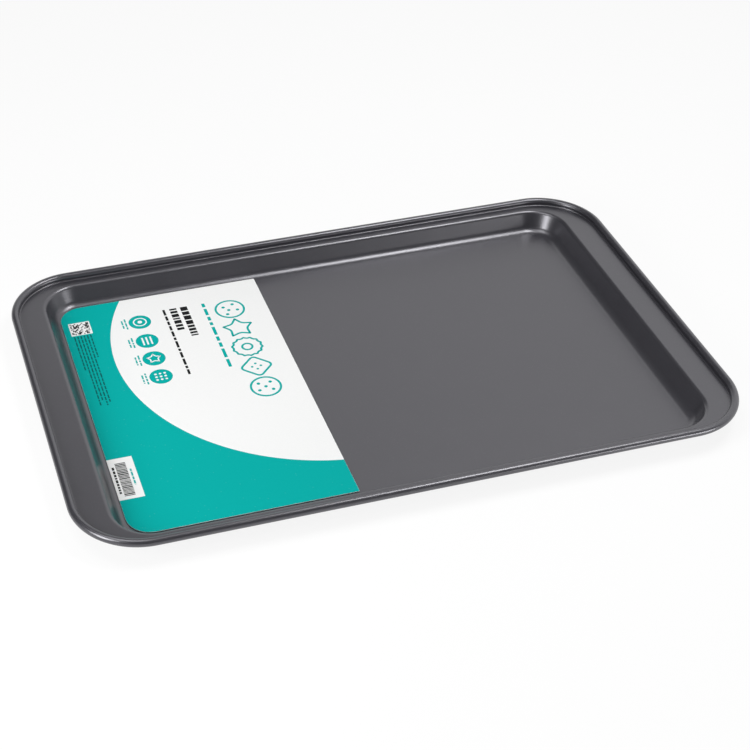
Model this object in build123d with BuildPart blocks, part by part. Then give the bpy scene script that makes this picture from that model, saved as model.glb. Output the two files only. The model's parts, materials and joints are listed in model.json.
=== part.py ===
"""A cookie sheet: a pressed steel pan with wide grip ends and a wired rolled edge, and a card on its floor.

Millimetres, +Z up. The origin is on the table, under the middle of the pan. +X runs along the pan, and the
card lies at its -X end.
"""
import os
from math import acos, asin, cos, degrees, radians, sin, sqrt

from build123d import *

# Pan, overall
pan_length = 432.0
pan_width = 282.0
rim_height = 18.8
outer_corner_radius = 44.4
sheet_thickness = 0.6

# Flange: the flat stretch from the outer edge to the well's shoulder
end_flange = 22.2
side_flange = 9.7

# Well, measured on the surface that food touches
well_corner_radius = 27.0
shoulder_radius = 3.2
floor_radius = 7.0
wall_draft = 25.0  # degrees from upright

# Rolled edge, turned up, over and under the wire inside it
bead_diameter = 5.2
rise_radius = 0.8  # of the bend from the flange up into the bead
curl_gap = 0.3  # between the curl's cut edge and the underside of that bend
wire_clearance = 0.15

# Card and the glue under it
card_length = 141.5
card_width = 235.0
card_thickness = 0.4
card_tip_radius = 0.8
glue_thickness = 0.3
glue_diameter = 9.0
glue_edge_radius = 0.1
glue_margin = 22.0  # from the card's edges to the middles of the outer dots
glue_columns = 2
glue_rows = 3

# The bead's underside is level with the flange's underside
bead_radius = bead_diameter / 2
bead_height = rim_height - bead_radius
flange_bottom = rim_height - bead_diameter
flange_top = flange_bottom + sheet_thickness

# The bend up from the flange touches the bead, on the line between their middles
bend_to_bead = bead_radius + rise_radius
bead_lift = asin((bead_height - flange_top - rise_radius) / bend_to_bead)
rise_inset = bead_radius + bend_to_bead * cos(bead_lift)
rise_turn = 90 + degrees(bead_lift)
cut_edge_reach = rise_radius + sheet_thickness + curl_gap
curl_left_open = acos(
    (bead_radius**2 + bend_to_bead**2 - cut_edge_reach**2) / (2 * bead_radius * bend_to_bead)
)
curl_turn = 360 - degrees(curl_left_open)

# The wall's section turns down by this angle, runs straight and turns back to the floor
wall_turn = 90 - wall_draft
turn_drop = (shoulder_radius + floor_radius) * (1 - cos(radians(wall_turn)))
wall_slant = (flange_top - sheet_thickness - turn_drop) / sin(radians(wall_turn))
wall_run = (shoulder_radius + floor_radius) * sin(radians(wall_turn)) + wall_slant * cos(radians(wall_turn))

# Well at the flange, and the flat floor at its foot
well_length = pan_length - 2 * end_flange
well_width = pan_width - 2 * side_flange
floor_length = well_length - 2 * wall_run
floor_width = well_width - 2 * wall_run
floor_corner_radius = well_corner_radius - wall_run

# The glue holds the card off the floor, so its edge passes over the start of the floor radius
edge_rise = glue_thickness / 2
card_reach = sqrt(floor_radius**2 - (floor_radius - edge_rise) ** 2)
card_left = -floor_length / 2 - card_reach
card_far = floor_width / 2 + card_reach
card_bottom = sheet_thickness + glue_thickness
card_corner_radius = floor_corner_radius + card_reach
card_middle = (card_left + card_length / 2, card_far - card_width / 2)


def rounded_loop(length, width, radius, height):
    """A closed loop of sides and corner arcs that starts halfway along its +X side."""
    half_length, half_width = length / 2, width / 2
    with BuildLine() as loop:
        start = Line((half_length, 0, height), (half_length, half_width - radius, height))
        corner = JernArc(start @ 1, start % 1, radius, 90)
        for side in (length, width, length):
            straight = PolarLine(corner @ 1, side - 2 * radius, direction=corner % 1)
            corner = JernArc(straight @ 1, straight % 1, radius, 90)
        Line(corner @ 1, start @ 0)
    return loop.line


# Pan: the rolled edge, the flange, the wall and the floor, fused into one sheet
bead_path = rounded_loop(
    pan_length - bead_diameter,
    pan_width - bead_diameter,
    outer_corner_radius - bead_radius,
    bead_height,
)
bead_middle = (pan_length / 2 - bead_radius, bead_height)
rise_start = pan_length / 2 - rise_inset

with BuildPart() as pan:
    with BuildSketch(Plane.XZ) as curl:
        with BuildLine():
            rise = JernArc((rise_start, flange_top), (1, 0), rise_radius, rise_turn)
            outside = JernArc(rise @ 1, rise % 1, bead_radius, -curl_turn)
            under = JernArc((rise_start, flange_bottom), (1, 0), rise_radius + sheet_thickness, rise_turn)
            inside = JernArc(under @ 1, under % 1, bead_radius - sheet_thickness, -curl_turn)
            Line(rise @ 0, under @ 0)
            Line(outside @ 1, inside @ 1)
        make_face()
    sweep(path=bead_path)

    with BuildSketch(Plane.XY.offset(flange_bottom)) as flange:
        RectangleRounded(
            pan_length - 2 * rise_inset, pan_width - 2 * rise_inset, outer_corner_radius - rise_inset
        )
        RectangleRounded(well_length, well_width, well_corner_radius, mode=Mode.SUBTRACT)
    extrude(amount=sheet_thickness)

    with BuildSketch(Plane.XZ) as wall:
        with BuildLine():
            shoulder = JernArc((well_length / 2, flange_top), (-1, 0), shoulder_radius, wall_turn)
            slant = PolarLine(shoulder @ 1, wall_slant, direction=shoulder % 1)
            foot = JernArc(slant @ 1, slant % 1, floor_radius, -wall_turn)
            offset(amount=sheet_thickness, side=Side.LEFT)
        make_face()
    sweep(path=rounded_loop(well_length, well_width, well_corner_radius, flange_top))

    with BuildSketch() as floor:
        RectangleRounded(floor_length, floor_width, floor_corner_radius)
    extrude(amount=sheet_thickness)

pan.part.label = "pan"

# Wire inside the rolled edge
with BuildPart() as rim_wire:
    with BuildSketch(Plane.XZ):
        with Locations(bead_middle):
            Circle(bead_radius - sheet_thickness - wire_clearance)
    sweep(path=bead_path)

rim_wire.part.label = "rim_wire"

# Card: rounded where it fits the well's corners, square at its free edge
with BuildPart() as label_card:
    with BuildSketch(Plane.XY.offset(card_bottom)):
        with Locations(card_middle):
            Rectangle(card_length, card_width)
        fillet(vertices().sort_by(Axis.X)[:2], card_corner_radius)
        fillet(vertices().sort_by(Axis.X)[-2:], card_tip_radius)
    extrude(amount=card_thickness)

label_card.part.label = "label_card"

# Glue dots, squashed flat between the card and the floor
with BuildPart() as glue_dots:
    with BuildSketch(Plane.XY.offset(sheet_thickness)):
        with Locations(card_middle):
            with GridLocations(
                (card_length - 2 * glue_margin) / (glue_columns - 1),
                (card_width - 2 * glue_margin) / (glue_rows - 1),
                glue_columns,
                glue_rows,
            ):
                Circle(glue_diameter / 2)
    extrude(amount=glue_thickness)
    fillet(edges().filter_by(GeomType.CIRCLE), glue_edge_radius)

glue_dots.part.label = "glue_dots"

os.makedirs("parts", exist_ok=True)
for piece in (pan, rim_wire, label_card, glue_dots):
    export_step(piece.part, f"parts/{piece.part.label}.step")
    print(piece.part.label, piece.part.volume, piece.part.bounding_box().size)
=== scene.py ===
"""The look of a cookie sheet: a pressed steel pan with a satin coating, and the card on its floor.

Metres, +Z up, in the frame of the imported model. The pan and the ink on the card are modelled here. The
wire in the rolled edge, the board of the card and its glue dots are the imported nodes, with finishes of
their own.
"""
import json
import random
from math import acos, asin, cos, pi, radians, sin

import bmesh
import bpy
from mathutils import Matrix, Vector

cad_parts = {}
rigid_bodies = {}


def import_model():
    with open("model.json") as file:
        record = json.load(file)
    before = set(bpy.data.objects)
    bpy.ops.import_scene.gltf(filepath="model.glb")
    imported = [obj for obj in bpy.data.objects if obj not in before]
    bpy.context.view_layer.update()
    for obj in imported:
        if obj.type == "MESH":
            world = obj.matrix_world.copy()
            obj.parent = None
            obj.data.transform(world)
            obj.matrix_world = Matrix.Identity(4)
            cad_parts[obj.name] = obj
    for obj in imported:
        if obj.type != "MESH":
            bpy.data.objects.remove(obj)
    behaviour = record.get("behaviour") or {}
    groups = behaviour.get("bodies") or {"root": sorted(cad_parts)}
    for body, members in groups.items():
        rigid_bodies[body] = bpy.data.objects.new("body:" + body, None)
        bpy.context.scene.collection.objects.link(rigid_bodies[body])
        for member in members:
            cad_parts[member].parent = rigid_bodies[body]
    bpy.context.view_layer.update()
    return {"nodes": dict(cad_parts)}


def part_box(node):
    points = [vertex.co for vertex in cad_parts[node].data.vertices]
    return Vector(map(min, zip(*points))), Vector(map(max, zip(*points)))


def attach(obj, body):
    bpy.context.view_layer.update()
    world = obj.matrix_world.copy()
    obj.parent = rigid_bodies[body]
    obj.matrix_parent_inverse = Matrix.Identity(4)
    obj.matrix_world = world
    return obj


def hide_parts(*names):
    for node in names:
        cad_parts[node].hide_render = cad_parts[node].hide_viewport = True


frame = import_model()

# Sizes that the frame gives
pan_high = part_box("pan")[1]
wire_low, wire_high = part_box("rim_wire")
card_low, card_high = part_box("label_card")

half_length = pan_high.x
half_width = pan_high.y
bead_height = (wire_low.z + wire_high.z) / 2
bead_radius = pan_high.z - bead_height

# Sizes of the pressing
sheet_thickness = 0.0006
outer_corner_radius = 0.0444
end_flange = 0.0222
side_flange = 0.0097
well_corner_radius = 0.027
shoulder_radius = 0.0032
floor_radius = 0.007
wall_turn = radians(65)
rise_radius = 0.0008
curl_gap = 0.0003
flat_run = 0.0008  # keeps the flat faces flat beside the bends
bend_steps = 12
curl_steps = 40
corner_steps = 24
same_place = 1e-6

# The sheet's underside, which the section follows
flange_bottom = bead_height - bead_radius
flange_top = flange_bottom + sheet_thickness
foot_radius = floor_radius + sheet_thickness
shoulder_middle = flange_top - shoulder_radius
turn_drop = (shoulder_radius + floor_radius) * (1 - cos(wall_turn))
wall_slant = (flange_bottom - turn_drop) / sin(wall_turn)
wall_run = (shoulder_radius + floor_radius) * sin(wall_turn) + wall_slant * cos(wall_turn)
well_half_length = half_length - end_flange
well_half_width = half_width - side_flange

# The bend up from the flange touches the bead on the line between their middles
bend_to_bead = bead_radius + rise_radius
bead_lift = asin((bead_height - flange_top - rise_radius) / bend_to_bead)
rise_inset = bead_radius + bend_to_bead * cos(bead_lift)
cut_edge_reach = rise_radius + sheet_thickness + curl_gap
curl_left_open = acos(
    (bead_radius**2 + bend_to_bead**2 - cut_edge_reach**2) / (2 * bead_radius * bend_to_bead)
)

# Print on the card. Places are measured from its far left corner: across the lines of print, then along
ink_thickness = 0.00002
board_edge = 0.00005  # left bare round the ground
ground_radius = 0.0155
ground_steps = 16
tip_radius = 0.0008
tip_steps = 4
field_middle = (0.1654, 0.0678)
field_radius = 0.139
field_steps = 240
cut_height = 0.002
rounding_steps = 4
print_seed = 5

# The bare square with the cells of the code
code_middle = (0.0115, 0.0245)
code_side = 0.0146
code_print = 0.0128
code_cells = 13
inked_share = 0.5
cell_fill = 0.94  # keeps neighbouring cells apart

# The bare ticket with the price bars
ticket_middle = (0.0079, 0.1835)
ticket_size = (0.0160, 0.0386)

# The row of discs, with a sign on each and a caption of two lines beside it
disc_across = 0.0522
disc_places = (0.0284, 0.0508, 0.0711, 0.0915)
disc_radius = 0.00775
disc_steps = 48
sign_stroke = 0.0009
stripe_pitch = 0.0028
stripe_size = (0.0012, 0.0086)
dot_pitch = 0.0031
dot_radius = 0.0009
star_points = 10
star_dip = 0.56
caption_lines = ((0.0425, 0.012), (0.0402, 0.009))  # place across, length
caption_words = (0.0011, 0.005, 0.0008)  # height, longest word, gap

# The row of biscuits, with their chips and holes placed in millimetres from a biscuit's middle
millimetre = 0.001
biscuit_across = 0.1155
biscuit_stroke = 0.0015
chip_biscuits = (
    (0.0310, ((-4, -3), (3, -5), (5, 2), (-1, 1), (-3, 5.5))),
    (0.1210, ((4, -4), (-4, -4), (0, 0), (-5, 3), (4, 4))),
)
star_biscuit = 0.0535
ring_biscuit = 0.0760
square_biscuit = 0.0985
hole_places = ((-3, 0), (3, 0), (0, -3), (0, 3))

# Lines of words, each with its start, length, height, longest word and gap between words
shortest_word = 0.35  # of the longest
teal_lines = (
    ((0.0989, 0.0195), 0.0747, 0.0022, 0.010, 0.0022),
    ((0.0127, 0.1759), 0.0151, 0.0011, 0.004, 0.0007),
)
bold_lines = (
    ((0.0850, 0.0194), 0.0344, 0.0050, 0.0048, 0.0011),
    ((0.0774, 0.0194), 0.0258, 0.0050, 0.0048, 0.0011),
    ((0.0709, 0.0192), 0.0752, 0.0017, 0.0075, 0.0013),
)
price_lines = (
    ((0.0074, 0.1689), 0.0311, 0.0066, 0.0011, 0.0005),
    ((0.0023, 0.1720), 0.0250, 0.0014, 0.0028, 0.0008),
)
dark_words = (0.00095, 0.0052, 0.0009)  # height, longest word, gap
dark_lines = (  # start, length
    ((0.0168, 0.0331), 0.026),
    ((0.0146, 0.0331), 0.075),
    ((0.0124, 0.0331), 0.078),
    ((0.0102, 0.0331), 0.072),
    ((0.0080, 0.0331), 0.077),
    ((0.0058, 0.0331), 0.038),
)

# Finishes: two tones that clouds blend, the least and most roughness, and what flecks add
fleck_reach = 0.28  # of the spacing between flecks
coating_tones = ((0.021, 0.0205, 0.0255, 1), (0.029, 0.0285, 0.0335, 1))
coating_roughness = (0.28, 0.33)
coating_fleck = (0.16, 0.16, 0.17, 1)
board_tones = ((0.86, 0.865, 0.86, 1), (0.93, 0.935, 0.93, 1))
board_roughness = (0.42, 0.5)
teal_tones = ((0.002, 0.412, 0.384, 1), (0.0, 0.38, 0.354, 1))
dark_tones = ((0.004, 0.13, 0.12, 1), (0.002, 0.09, 0.085, 1))
black_tones = ((0.016, 0.017, 0.018, 1), (0.008, 0.009, 0.009, 1))
white_tones = ((0.84, 0.87, 0.865, 1), (0.9, 0.91, 0.905, 1))
ink_roughness = (0.5, 0.6)
pinhole_white = (0.9, 0.9, 0.9, 1)
wire_tones = ((0.42, 0.42, 0.43, 1), (0.56, 0.56, 0.56, 1))
wire_roughness = (0.28, 0.5)
glue_tones = ((0.78, 0.75, 0.62, 1), (0.9, 0.88, 0.78, 1))
glue_roughness = (0.12, 0.25)
bubble_white = (0.95, 0.95, 0.92, 1)

# The photograph's camera
photo_side = 750  # pixels
focal_length = 1672.565  # pixels
middle_shift = 102.491  # pixels
sensor_width = 36.0  # millimetres
view_azimuth = radians(-16.391)
view_height = radians(37.972)
view_distance = 1.104178
view_target = Vector((-0.05898, 0.010757, 0))

# The studio's floor and light
floor_size = 6
paper_white = (0.95, 0.95, 0.95, 1)
light_white = (1, 1, 1, 1)
floor_glow = 0.88  # near the pan, and 1 past the glow's end
glow_start = 0.7
glow_end = 1.8
room_light = 0.1
backdrop_slope = (-0.63, -0.47)  # of a direction's reach to the right less its height
backdrop_depth = (-0.75, -0.1)  # of a direction's reach to the back
softboxes = (  # name, place, target, size, watts
    ("overhead_right", (0.38, -0.02, 1.0), (0.1, 0, 0), (0.45, 0.3), 5.0),
    ("overhead_left", (-0.4, 0.0, 1.2), (-0.1, 0, 0), (0.6, 0.6), 4.9),
    ("front_right", (0.92, -1.18, 0.14), (0.1, 0, 0.05), (0.55, 0.26), 7.0),
    ("left_strip", (-0.72, -0.3, 0.36), (0.18, 0.11, 0.01), (0.3, 0.4), 4.2),
)


# Drawing in edit mode


def start_drawing(name, place):
    """Opens a new mesh in edit mode that holds one selected point."""
    bpy.ops.object.select_all(action="DESELECT")
    bpy.ops.mesh.primitive_plane_add(size=flat_run)
    piece = bpy.context.object
    piece.name = piece.data.name = name
    bpy.ops.object.mode_set(mode="EDIT")
    bpy.ops.mesh.merge(type="CENTER")
    bpy.ops.transform.translate(value=place)
    return piece


def draw_straight(move):
    bpy.ops.mesh.extrude_region_move(TRANSFORM_OT_translate={"value": move})


def draw_bend(middle, angle, steps):
    """Turns the end of the section about a point, from +X towards +Z. Spin turns clockwise."""
    bpy.ops.mesh.spin(steps=steps, angle=angle, center=middle, axis=(0, 1, 0))


def sweep_round(middle_x, middle_y):
    """Carries the section along the sides and round the corners, from the foot of the +X side."""
    bpy.ops.mesh.select_all(action="SELECT")
    sides = ((0, 1), (-1, 0), (0, -1), (1, 0))
    corners = ((1, 1), (-1, 1), (-1, -1), (1, -1))
    for (along_x, along_y), (corner_x, corner_y) in zip(sides, corners):
        draw_straight((2 * middle_x * along_x, 2 * middle_y * along_y, 0))
        corner = (middle_x * corner_x, middle_y * corner_y, 0)
        bpy.ops.mesh.spin(steps=corner_steps, angle=pi / 2, center=corner, axis=(0, 0, -1))
    bpy.ops.mesh.select_all(action="SELECT")
    bpy.ops.mesh.remove_doubles(threshold=same_place)


def select_open_edges(piece, height):
    """Selects the loops at this height that have a face on one side only."""
    bpy.ops.mesh.select_mode(type="EDGE")
    bpy.ops.mesh.select_all(action="DESELECT")
    mesh = bmesh.from_edit_mesh(piece.data)
    for edge in mesh.edges:
        level = all(abs(vertex.co.z - height) < same_place for vertex in edge.verts)
        edge.select_set(edge.is_boundary and level)
    bmesh.update_edit_mesh(piece.data)


def model_pan_shell():
    """The steel sheet: its underside is swept and filled, and then gets its thickness upwards."""
    corner_x = well_half_length - well_corner_radius
    corner_y = well_half_width - well_corner_radius
    floor_end = well_half_length - wall_run
    well = start_drawing("pan_shell", (floor_end - flat_run, -corner_y, 0))
    draw_straight((flat_run, 0, 0))
    draw_bend((floor_end, -corner_y, foot_radius), wall_turn, bend_steps)
    draw_straight((wall_slant * cos(wall_turn), 0, wall_slant * sin(wall_turn)))
    draw_bend((well_half_length, -corner_y, shoulder_middle), -wall_turn, bend_steps)
    draw_straight((flat_run, 0, 0))
    sweep_round(corner_x, corner_y)
    bpy.ops.object.mode_set(mode="OBJECT")

    corner_x = half_length - outer_corner_radius
    corner_y = half_width - outer_corner_radius
    rise_start = half_length - rise_inset
    bead_middle = (half_length - bead_radius, -corner_y, bead_height)
    start_drawing("rolled_edge", (rise_start - flat_run, -corner_y, flange_bottom))
    draw_straight((flat_run, 0, 0))
    draw_bend((rise_start, -corner_y, flange_top + rise_radius), pi / 2 + bead_lift, bend_steps)
    draw_bend(bead_middle, curl_left_open - 2 * pi, curl_steps)
    sweep_round(corner_x, corner_y)
    bpy.ops.object.mode_set(mode="OBJECT")

    well.select_set(True)
    bpy.context.view_layer.objects.active = well
    bpy.ops.object.join()
    bpy.ops.object.mode_set(mode="EDIT")
    select_open_edges(well, flange_bottom)
    bpy.ops.mesh.bridge_edge_loops()
    select_open_edges(well, 0)
    bpy.ops.mesh.edge_face_add()
    bpy.ops.mesh.select_all(action="SELECT")
    bpy.ops.mesh.normals_make_consistent(inside=False)
    floor_face = max(bmesh.from_edit_mesh(well.data).faces, key=lambda face: face.calc_area())
    if floor_face.normal.z > 0:
        bpy.ops.mesh.flip_normals()
    bpy.ops.object.mode_set(mode="OBJECT")

    sheet = well.modifiers.new("sheet", "SOLIDIFY")
    sheet.thickness = sheet_thickness
    sheet.use_even_offset = True
    sheet.use_quality_normals = True
    bpy.ops.object.modifier_apply(modifier=sheet.name)
    bpy.ops.object.shade_smooth_by_angle(angle=radians(30))
    return well


# Printing on the card


def card_place(across, along, layer=0):
    """A point of the card's face, in the frame, on top of so many films of ink."""
    return Vector((card_low.x + across, card_high.y - along, card_high.z + layer * ink_thickness))


def start_print(name):
    """Opens a new mesh in edit mode with nothing in it."""
    bpy.ops.object.select_all(action="DESELECT")
    bpy.ops.mesh.primitive_plane_add(size=flat_run)
    piece = bpy.context.object
    piece.name = piece.data.name = name
    bpy.ops.object.mode_set(mode="EDIT")
    bpy.ops.mesh.select_mode(type="VERT")
    bpy.ops.mesh.delete(type="VERT")
    return piece


def round_off(radius, steps):
    bpy.ops.mesh.bevel(offset=radius, segments=steps, affect="VERTICES")


def print_bar(middle, size, layer=0):
    """A flat bar, given by its middle and its size across and along the lines of print."""
    bpy.ops.mesh.select_all(action="DESELECT")
    place = card_place(*middle, layer)
    bpy.ops.mesh.primitive_plane_add(size=1, location=place)
    bpy.ops.transform.resize(value=(*size, 1), center_override=place)


def print_disc(middle, radius, steps, layer=0):
    bpy.ops.mesh.select_all(action="DESELECT")
    bpy.ops.mesh.primitive_circle_add(
        vertices=steps, radius=radius, fill_type="NGON", location=card_place(*middle, layer)
    )


def print_outline(middle, radius, stroke, layer=0, points=48, dip=1.0, rounding=0.0):
    """A ring, or a star or scalloped round if every second point is drawn in."""
    print_disc(middle, radius, points, layer)
    if dip < 1:
        mesh = bmesh.from_edit_mesh(bpy.context.edit_object.data)
        drawn = [vertex for vertex in mesh.verts if vertex.select]
        for vertex in drawn[::2]:
            vertex.select_set(False)
        mesh.select_flush(False)
        bmesh.update_edit_mesh(bpy.context.edit_object.data)
        bpy.ops.transform.resize(value=(dip, dip, 1), center_override=card_place(*middle, layer))
        bpy.ops.mesh.select_linked()
    if rounding:
        round_off(rounding, rounding_steps)
    bpy.ops.mesh.inset(thickness=stroke, depth=0, use_even_offset=True)
    bpy.ops.mesh.delete(type="FACE")


def print_words(dice, start, length, height, longest, gap, layer=0):
    """A line of bars of uneven lengths, from its start along the line."""
    across, along = start
    end = along + length
    while along < end:
        word = min(longest * dice.uniform(shortest_word, 1), end - along)
        print_bar((across, along + word / 2), (height, word), layer)
        along += word + gap


def finish_print(piece):
    """Gives the flat shapes the thickness of the ink, and closes the piece."""
    bpy.ops.mesh.select_all(action="SELECT")
    bpy.ops.mesh.extrude_region_move(TRANSFORM_OT_translate={"value": (0, 0, ink_thickness)})
    bpy.ops.mesh.select_all(action="SELECT")
    bpy.ops.mesh.normals_make_consistent(inside=False)
    bpy.ops.object.mode_set(mode="OBJECT")
    return piece


def cut_out(piece, cutters):
    """Cuts the shapes out of a piece and deletes them."""
    for cutter in cutters:
        cut = piece.modifiers.new("cut", "BOOLEAN")
        cut.operation = "DIFFERENCE"
        cut.object = cutter
        bpy.context.view_layer.objects.active = piece
        bpy.ops.object.modifier_apply(modifier=cut.name)
        bpy.ops.object.select_all(action="DESELECT")
        cutter.select_set(True)
        bpy.ops.object.delete()


def round_cutter(middle, radius, steps):
    bpy.ops.object.select_all(action="DESELECT")
    bpy.ops.mesh.primitive_cylinder_add(
        vertices=steps, radius=radius, depth=cut_height, location=card_place(*middle)
    )
    return bpy.context.object


def bar_cutter(middle, size):
    bpy.ops.object.select_all(action="DESELECT")
    bpy.ops.mesh.primitive_cube_add(size=1, location=card_place(*middle), scale=(*size, cut_height))
    return bpy.context.object


def print_ground():
    """The teal ground, with the round field and the code and price tickets left bare."""
    ground = start_print("teal_ground")
    reach = card_high - card_low - Vector((2 * board_edge, 2 * board_edge, 0))
    print_bar((board_edge + reach.x / 2, board_edge + reach.y / 2), (reach.x, reach.y))
    middle_x = (card_low.x + card_high.x) / 2
    for side, radius, steps in ((-1, ground_radius, ground_steps), (1, tip_radius, tip_steps)):
        bpy.ops.mesh.select_all(action="DESELECT")
        mesh = bmesh.from_edit_mesh(ground.data)
        for vertex in mesh.verts:
            vertex.select_set((vertex.co.x - middle_x) * side > 0)
        bmesh.update_edit_mesh(ground.data)
        round_off(radius, steps)
    finish_print(ground)
    cutters = [
        round_cutter(field_middle, field_radius, field_steps),
        bar_cutter(code_middle, (code_side, code_side)),
        bar_cutter(ticket_middle, ticket_size),
    ]
    cut_out(ground, cutters)
    return ground


def print_biscuit(along, radius, **shape):
    print_outline((biscuit_across, along), radius, biscuit_stroke, **shape)


def print_chips(along, places, radius, steps):
    """Round chips or holes on a biscuit of the row."""
    for across_step, along_step in places:
        middle = (biscuit_across + across_step * millimetre, along + along_step * millimetre)
        print_disc(middle, radius, steps)


def print_teal_marks(dice):
    """Discs with captions, a line of words on the field and on the ticket, and a row of biscuits."""
    marks = start_print("teal_marks")
    for along in disc_places:
        print_disc((disc_across, along), disc_radius, disc_steps)
        for across, length in caption_lines:
            print_words(dice, (across, along - length / 2), length, *caption_words)
    for line in teal_lines:
        print_words(dice, *line)
    for along, chips in chip_biscuits:
        print_biscuit(along, radius=0.0106)
        print_chips(along, chips, radius=0.0012, steps=16)
    print_biscuit(star_biscuit, radius=0.0118, points=star_points, dip=star_dip, rounding=0.0016)
    print_biscuit(ring_biscuit, radius=0.0112, points=28, dip=0.9, rounding=0.0006)
    print_biscuit(ring_biscuit, radius=0.0042, points=32)
    print_biscuit(square_biscuit, radius=0.0121, points=4, rounding=0.0035)
    print_chips(square_biscuit, hole_places, radius=0.0009, steps=12)
    return finish_print(marks)


def print_white_marks():
    """The plain signs on the discs: a ring, stripes, a star and dots."""
    marks = start_print("white_marks")
    first, second, third, fourth = ((disc_across, along) for along in disc_places)
    print_outline(first, radius=0.0048, stroke=sign_stroke, layer=1, points=32)
    print_disc(first, radius=0.0016, steps=20, layer=1)
    for step in (-1, 0, 1):
        print_bar((second[0] + step * stripe_pitch, second[1]), stripe_size, layer=1)
    star = {"points": star_points, "dip": star_dip, "rounding": 0.0006}
    print_outline(third, radius=0.0055, stroke=sign_stroke, layer=1, **star)
    for step_across in (-1, 0, 1):
        for step_along in (-1, 0, 1):
            place = (fourth[0] + step_across * dot_pitch, fourth[1] + step_along * dot_pitch)
            print_disc(place, dot_radius, steps=14, layer=1)
    return finish_print(marks)


def print_black_marks(dice):
    """The bold and thin lines of words, the cells of the code and the bars of the price ticket."""
    marks = start_print("black_marks")
    for line in bold_lines:
        print_words(dice, *line)
    cell = code_print / code_cells
    for row in range(code_cells):
        for column in range(code_cells):
            if dice.random() < inked_share:
                across = code_middle[0] + (row - (code_cells - 1) / 2) * cell
                along = code_middle[1] + (column - (code_cells - 1) / 2) * cell
                print_bar((across, along), (cell * cell_fill, cell * cell_fill))
    for line in price_lines:
        print_words(dice, *line)
    return finish_print(marks)


def print_dark_marks(dice):
    """Fine lines of words on the teal ground."""
    marks = start_print("dark_marks")
    for start, length in dark_lines:
        print_words(dice, start, length, *dark_words, layer=1)
    return finish_print(marks)


pan_shell = model_pan_shell()
dice = random.Random(print_seed)
teal_ground = print_ground()
teal_marks = print_teal_marks(dice)
white_marks = print_white_marks()
black_marks = print_black_marks(dice)
dark_marks = print_dark_marks(dice)


# Nodes


def add_node(tree, kind, inputs=(), **settings):
    """Adds a node with its settings, and gives its inputs values or links by name or number."""
    node = tree.nodes.new(kind)
    for name, value in settings.items():
        setattr(node, name, value)
    for name, value in dict(inputs).items():
        if isinstance(value, bpy.types.NodeSocket):
            tree.links.new(value, node.inputs[name])
        else:
            node.inputs[name].default_value = value
    return node


def calculate(tree, operation, *values):
    node = add_node(tree, "ShaderNodeMath", dict(enumerate(values)), operation=operation)
    return node.outputs[0]


def new_group(name, inputs, outputs):
    """A node group with named sockets. Each is a name and Float, Vector or Color."""
    group = bpy.data.node_groups.new(name, "ShaderNodeTree")
    for side, sockets in (("INPUT", inputs), ("OUTPUT", outputs)):
        for label, kind in sockets:
            group.interface.new_socket(label, in_out=side, socket_type="NodeSocket" + kind)
    given = group.nodes.new("NodeGroupInput").outputs
    result = group.nodes.new("NodeGroupOutput").inputs
    return group, given, result


def build_unevenness():
    """Slow clouds, from 0 to 1, for a finish that is never quite one tone."""
    inputs = (("Place", "Vector"), ("Width", "Float"), ("Detail", "Float"))
    group, given, result = new_group("unevenness", inputs, (("Value", "Float"),))
    scale = calculate(group, "DIVIDE", 1.0, given["Width"])
    clouds = add_node(
        group,
        "ShaderNodeTexNoise",
        {"Vector": given["Place"], "Scale": scale, "Detail": given["Detail"], "Roughness": 0.6},
    )
    group.links.new(clouds.outputs["Fac"], result["Value"])
    return group


def build_flecks():
    """Small round specks that stand apart, as a mask."""
    inputs = (("Place", "Vector"), ("Spacing", "Float"), ("Share", "Float"))
    group, given, result = new_group("flecks", inputs, (("Mask", "Float"),))
    scale = calculate(group, "DIVIDE", 1.0, given["Spacing"])
    cells = add_node(group, "ShaderNodeTexVoronoi", {"Vector": given["Place"], "Scale": scale})
    near = calculate(group, "LESS_THAN", cells.outputs["Distance"], fleck_reach)
    channels = add_node(group, "ShaderNodeSeparateColor", {"Color": cells.outputs["Color"]})
    chosen = calculate(group, "LESS_THAN", channels.outputs[0], given["Share"])
    group.links.new(calculate(group, "MULTIPLY", near, chosen), result["Mask"])
    return group


unevenness = build_unevenness()
flecks = build_flecks()


def place_group(tree, group, inputs):
    return add_node(tree, "ShaderNodeGroup", inputs, node_tree=group).outputs[0]


def new_material(name):
    material = bpy.data.materials.new(name)
    material.use_nodes = True
    tree = material.node_tree
    place = tree.nodes.new("ShaderNodeTexCoord").outputs["Object"]
    return material, tree, tree.nodes["Principled BSDF"], place


def blend_colours(tree, share, first, second):
    inputs = {"Factor": share, "A": first, "B": second}
    return add_node(tree, "ShaderNodeMix", inputs, data_type="RGBA").outputs[2]


def stretch(tree, value, low, high):
    node = add_node(tree, "ShaderNodeMapRange", {"Value": value, "To Min": low, "To Max": high})
    return node.outputs[0]


def clouded(tree, place, width, detail):
    return place_group(tree, unevenness, {"Place": place, "Width": width, "Detail": detail})


def fleck_with(tree, place, ground, colour, spacing, share, strength):
    """Lets small flecks of another colour show on a ground colour."""
    mask = place_group(tree, flecks, {"Place": place, "Spacing": spacing, "Share": share})
    return blend_colours(tree, calculate(tree, "MULTIPLY", mask, strength), ground, colour)


def add_bump(tree, shader, height, strength, distance):
    inputs = {"Height": height, "Strength": strength, "Distance": distance}
    node = add_node(tree, "ShaderNodeBump", inputs)
    tree.links.new(node.outputs[0], shader.inputs["Normal"])


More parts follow.
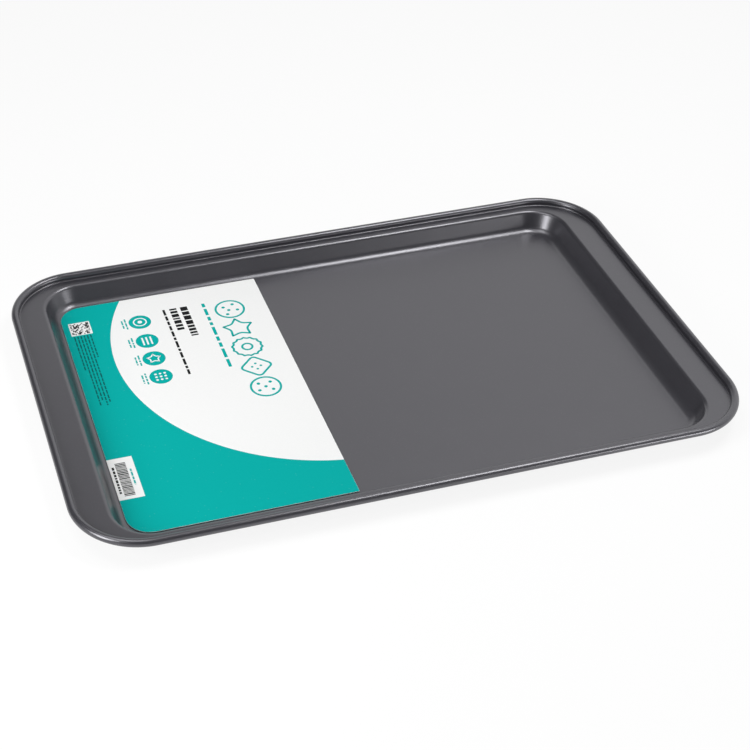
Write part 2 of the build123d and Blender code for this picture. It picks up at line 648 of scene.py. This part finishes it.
def coating_material():
    """Dark satin non-stick coating: fine flecks, slow unevenness and a faint orange peel."""
    material, tree, shader, place = new_material("nonstick_coating")
    clouds = clouded(tree, place, width=0.03, detail=4.0)
    base = blend_colours(tree, clouds, *coating_tones)
    flecked = fleck_with(tree, place, base, coating_fleck, spacing=0.0011, share=0.2, strength=0.12)
    tree.links.new(flecked, shader.inputs["Base Color"])
    tree.links.new(stretch(tree, clouds, *coating_roughness), shader.inputs["Roughness"])
    shader.inputs["IOR"].default_value = 1.95
    shader.inputs["Specular Tint"].default_value = (0.95, 0.94, 1.0, 1)
    peel = clouded(tree, place, width=0.0012, detail=2.0)
    add_bump(tree, shader, peel, strength=0.1, distance=0.00005)
    return material


def board_material():
    """White coated card board: a faint cloud of fibre under a smooth face."""
    material, tree, shader, place = new_material("card_board")
    fibre = clouded(tree, place, width=0.0011, detail=5.0)
    clouds = clouded(tree, place, width=0.02, detail=2.0)
    white = blend_colours(tree, fibre, *board_tones)
    tree.links.new(white, shader.inputs["Base Color"])
    tree.links.new(stretch(tree, clouds, *board_roughness), shader.inputs["Roughness"])
    add_bump(tree, shader, fibre, strength=0.08, distance=0.00003)
    return material


def ink_material(name, thin, full):
    """Printing ink on coated board, a little thinner over the fibre, with the odd pinhole."""
    material, tree, shader, place = new_material(name)
    fibre = clouded(tree, place, width=0.0014, detail=4.0)
    ink = blend_colours(tree, fibre, thin, full)
    holed = fleck_with(tree, place, ink, pinhole_white, spacing=0.0016, share=0.05, strength=0.025)
    tree.links.new(holed, shader.inputs["Base Color"])
    tree.links.new(stretch(tree, fibre, *ink_roughness), shader.inputs["Roughness"])
    shader.inputs["Specular IOR Level"].default_value = 0.06
    return material


def wire_material():
    """Plain drawn steel, with clouds of dull grey on it."""
    material, tree, shader, place = new_material("drawn_wire")
    clouds = clouded(tree, place, width=0.004, detail=4.0)
    tree.links.new(blend_colours(tree, clouds, *wire_tones), shader.inputs["Base Color"])
    tree.links.new(stretch(tree, clouds, *wire_roughness), shader.inputs["Roughness"])
    shader.inputs["Metallic"].default_value = 1.0
    return material


def glue_material():
    """Clear tacky glue, milky where it is thick, with small bubbles."""
    material, tree, shader, place = new_material("glue")
    clouds = clouded(tree, place, width=0.003, detail=2.0)
    milk = blend_colours(tree, clouds, *glue_tones)
    bubbly = fleck_with(tree, place, milk, bubble_white, spacing=0.0009, share=0.2, strength=0.5)
    tree.links.new(bubbly, shader.inputs["Base Color"])
    tree.links.new(stretch(tree, clouds, *glue_roughness), shader.inputs["Roughness"])
    add_bump(tree, shader, clouds, strength=0.3, distance=0.0002)
    return material


def finish_piece(piece, material, body):
    piece.data.materials.append(material)
    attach(piece, body)


coating = coating_material()
board = board_material()
wire_steel = wire_material()
glue = glue_material()
teal_ink = ink_material("teal_ink", *teal_tones)
dark_ink = ink_material("dark_ink", *dark_tones)
black_ink = ink_material("black_ink", *black_tones)
white_ink = ink_material("white_ink", *white_tones)

finish_piece(pan_shell, coating, "pan")
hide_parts("pan")
for film, ink in (
    (teal_ground, teal_ink),
    (teal_marks, teal_ink),
    (white_marks, white_ink),
    (black_marks, black_ink),
    (dark_marks, dark_ink),
):
    finish_piece(film, ink, "card")

for node, material in (("label_card", board), ("rim_wire", wire_steel), ("glue_dots", glue)):
    frame["nodes"][node].material_slots[0].material = material


# Studio


def light_path_share(tree):
    """1 for rays that see the background itself: from the camera, in a reflection or through glass."""
    path = tree.nodes.new("ShaderNodeLightPath").outputs
    seen = calculate(tree, "MAXIMUM", path["Is Camera Ray"], path["Is Glossy Ray"])
    return calculate(tree, "MAXIMUM", seen, path["Is Transmission Ray"])


def fade(tree, value, dark, white):
    """From 0 to 1 as the value goes from dark to white, with soft ends."""
    limits = {"Value": value, "From Min": dark, "From Max": white}
    return add_node(tree, "ShaderNodeMapRange", limits, interpolation_type="SMOOTHSTEP").outputs[0]


def build_floor():
    """Pale paper that keeps the shadow near the pan and turns white further out."""
    bpy.ops.object.select_all(action="DESELECT")
    bpy.ops.mesh.primitive_plane_add(size=floor_size)
    floor = bpy.context.object
    floor.name = "studio_floor"
    material = bpy.data.materials.new("studio_floor")
    material.use_nodes = True
    tree = material.node_tree
    tree.nodes.clear()
    paper = add_node(tree, "ShaderNodeBsdfDiffuse", {"Color": paper_white})
    glow = add_node(tree, "ShaderNodeEmission", {"Color": light_white, "Strength": 1.0})
    place = tree.nodes.new("ShaderNodeTexCoord").outputs["Object"]
    distance = add_node(tree, "ShaderNodeVectorMath", {0: place}, operation="LENGTH")
    further = fade(tree, distance.outputs["Value"], glow_start, glow_end)
    level = stretch(tree, further, low=floor_glow, high=1.0)
    share = calculate(tree, "MULTIPLY", light_path_share(tree), level)
    layers = {0: share, 1: paper.outputs[0], 2: glow.outputs[0]}
    mix = add_node(tree, "ShaderNodeMixShader", layers)
    output = tree.nodes.new("ShaderNodeOutputMaterial")
    tree.links.new(mix.outputs[0], output.inputs["Surface"])
    floor.data.materials.append(material)


def build_world():
    """A white backdrop to look at. The pan mirrors it low behind and on the right.

    Overhead, in front and on the left the pan mirrors only the dim room.
    """
    world = bpy.data.worlds.new("studio")
    bpy.context.scene.world = world
    world.use_nodes = True
    tree = world.node_tree
    tree.nodes.clear()
    path = tree.nodes.new("ShaderNodeLightPath").outputs
    sky = tree.nodes.new("ShaderNodeTexCoord").outputs["Generated"]
    direction = add_node(tree, "ShaderNodeSeparateXYZ", {0: sky}).outputs
    slope = calculate(tree, "SUBTRACT", direction["X"], direction["Z"])
    to_right = fade(tree, slope, *backdrop_slope)
    to_back = fade(tree, direction["Y"], *backdrop_depth)
    backdrop = calculate(tree, "MULTIPLY", to_right, to_back)
    seen = calculate(tree, "MAXIMUM", path["Is Camera Ray"], path["Is Transmission Ray"])
    mirrored = calculate(tree, "MULTIPLY", path["Is Glossy Ray"], backdrop)
    share = calculate(tree, "MAXIMUM", seen, mirrored)
    strength = stretch(tree, share, low=room_light, high=1.0)
    light = add_node(tree, "ShaderNodeBackground", {"Color": light_white, "Strength": strength})
    output = tree.nodes.new("ShaderNodeOutputWorld")
    tree.links.new(light.outputs[0], output.inputs["Surface"])


def add_softbox(name, place, target, size, power):
    lamp = bpy.data.lights.new(name, "AREA")
    lamp.shape = "RECTANGLE"
    lamp.size, lamp.size_y = size
    lamp.energy = power
    softbox = bpy.data.objects.new(name, lamp)
    bpy.context.scene.collection.objects.link(softbox)
    softbox.location = place
    softbox.rotation_euler = (Vector(place) - Vector(target)).to_track_quat("Z", "Y").to_euler()


def build_camera():
    camera_data = bpy.data.cameras.new("camera")
    camera = bpy.data.objects.new("camera", camera_data)
    bpy.context.scene.collection.objects.link(camera)
    away = Vector(
        (sin(view_azimuth) * cos(view_height), -cos(view_azimuth) * cos(view_height), sin(view_height))
    )
    level = Vector((cos(view_azimuth), sin(view_azimuth), 0))
    turn = Matrix((level, away.cross(level), away)).transposed().to_4x4()
    camera.matrix_world = Matrix.Translation(view_target + view_distance * away) @ turn
    camera_data.sensor_width = sensor_width
    camera_data.lens = focal_length / photo_side * sensor_width
    camera_data.shift_x = middle_shift / photo_side
    bpy.context.scene.camera = camera


build_floor()
build_world()
for softbox in softboxes:
    add_softbox(*softbox)
build_camera()
bpy.context.scene.view_settings.view_transform = "Standard"
